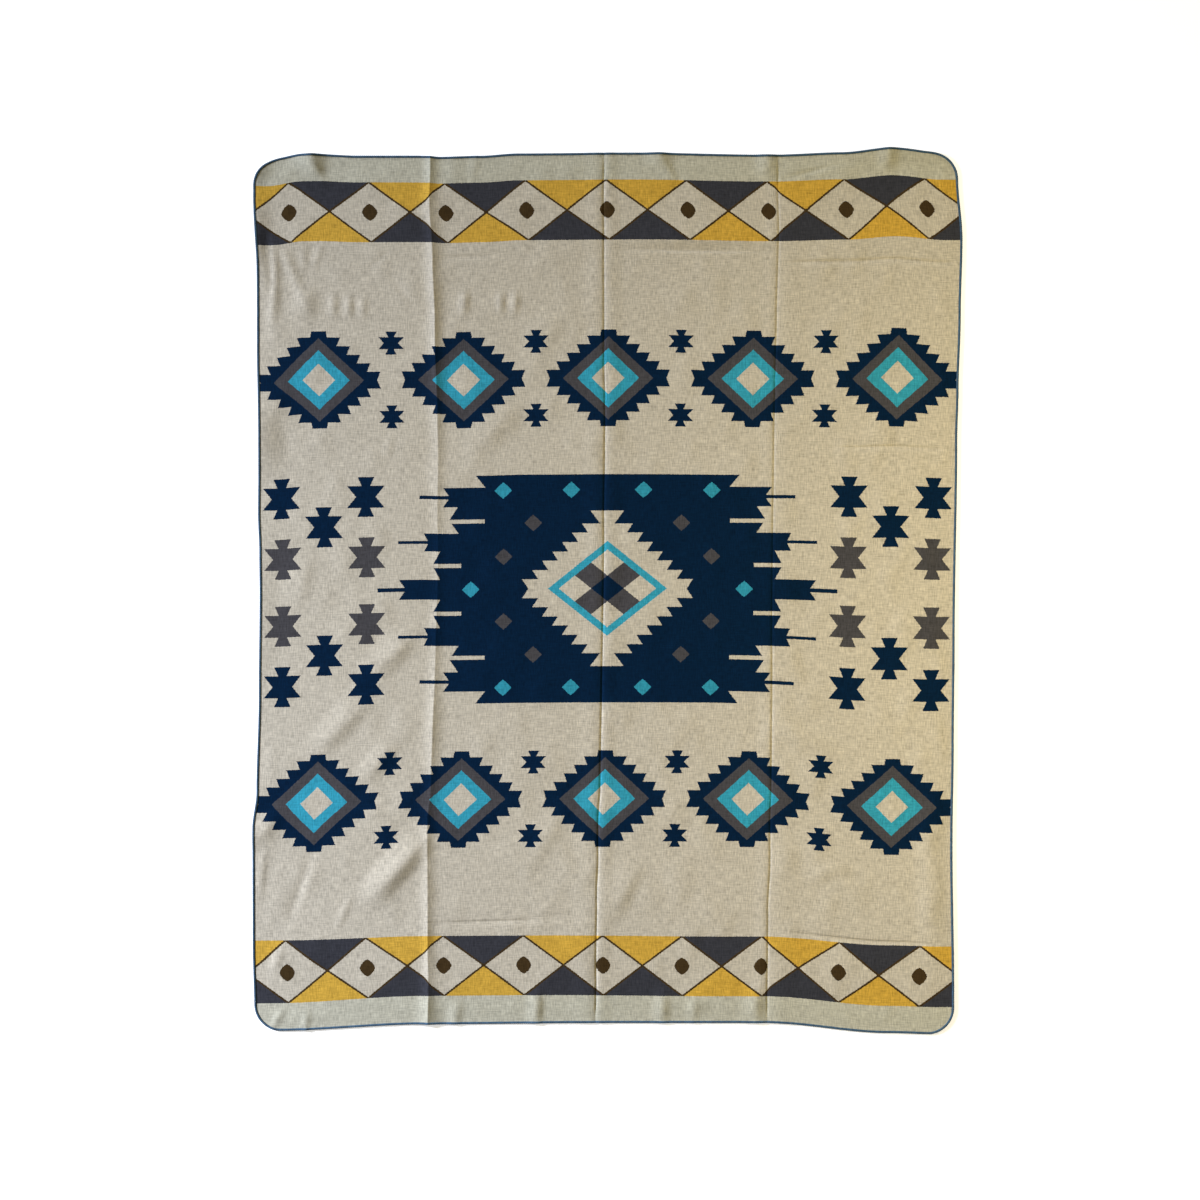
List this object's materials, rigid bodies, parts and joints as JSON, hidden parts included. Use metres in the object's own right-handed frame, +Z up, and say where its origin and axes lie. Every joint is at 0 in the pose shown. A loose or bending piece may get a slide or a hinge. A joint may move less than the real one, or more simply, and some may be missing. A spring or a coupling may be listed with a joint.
{
  "type": "throw blanket",
  "caption": "Woven throw blanket laid out flat, with rounded corners, pressed-in fold lines and an overcast yarn edge all round.",
  "frame": {"origin": "on the surface the blanket lies on, under the middle of its box", "axes": "+Z up out of the blanket's face, +Y along its length towards the top hem, +X across its width to the right"},
  "size_m": [1.623, 2.0262, 0.012],
  "materials": {
    "woven_cloth": "soft brushed jacquard weave, matte",
    "edge_yarn": "overcast yarn, matte"
  },
  "bodies": {
    "root": {"panel": "woven_cloth", "edge_binding": "edge_yarn"}
  },
  "joints": []
}
